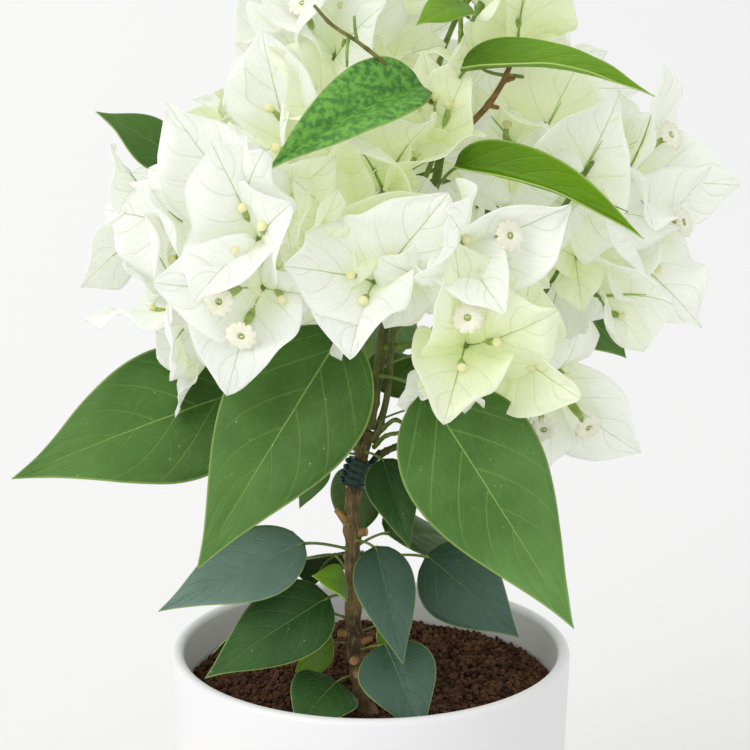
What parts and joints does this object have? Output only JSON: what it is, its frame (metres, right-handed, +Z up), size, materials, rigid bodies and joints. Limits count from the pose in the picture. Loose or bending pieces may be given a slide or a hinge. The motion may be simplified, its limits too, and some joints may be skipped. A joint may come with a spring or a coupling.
{
  "type": "potted bougainvillea bush",
  "caption": "Potted bougainvillea with clusters of papery white bracts, large green leaves on a short woody stem, and a plain white round pot.",
  "frame": {"origin": "centre of the flat underside of the pot", "axes": "+Z up, the front of the plant faces -Y, +X is the plant's right as seen from the front"},
  "size_m": [0.2114, 0.1615, 0.3498],
  "materials": {
    "glazed_pot": "smooth satin white",
    "potting_soil": "dark brown crumbs of peat",
    "bark": "grey-brown bark, greener on the young shoots",
    "tie": "dark green ribbed plastic",
    "leaf_green": "smooth satin leaf, paler veins",
    "bract_white": "papery white, greener towards the base"
  },
  "bodies": {
    "root": {"pot": "glazed_pot", "soil": "potting_soil", "trunk": "bark", "stem_tie": "tie", "leader": "bark", "bough_left": "bark", "bough_back_left": "bark", "bough_back_right": "bark", "bough_right": "bark", "leaf_low_left": "leaf_green", "leaf_low_front_left": "leaf_green", "leaf_young": "leaf_green", "leaf_low_pale": "leaf_green", "leaf_foot_front": "leaf_green", "leaf_low_front": "leaf_green", "leaf_low_right": "leaf_green", "leaf_foot_right": "leaf_green", "leaf_tie_right": "leaf_green", "leaf_behind_trunk": "leaf_green", "leaf_low_back_right": "leaf_green", "leaf_small_right": "leaf_green", "leaf_small_bright": "leaf_green", "leaf_tie_left": "leaf_green", "leaf_great_front": "leaf_green", "leaf_great_left": "leaf_green", "leaf_great_right": "leaf_green", "leaf_mid_back": "leaf_green", "leaf_mid_right": "leaf_green", "leaf_hook": "leaf_green", "leaf_right": "leaf_green", "leaf_arched_right": "leaf_green", "leaf_great_back": "leaf_green", "leaf_great_back_left": "leaf_green", "leaf_great_back_right": "leaf_green", "leaf_low_back": "leaf_green", "leaf_low_back_left": "leaf_green", "leaf_mottled": "leaf_green", "leaf_arched_top": "leaf_green", "crown_front": "bract_white", "crown_front_right": "bract_white", "crown_left": "bract_white", "crown_right": "bract_white", "crown_top_left": "bract_white", "crown_top": "bract_white", "crown_back_left": "bract_white", "crown_back": "bract_white", "crown_back_right": "bract_white", "crown_back_top": "bract_white"}
  },
  "joints": []
}
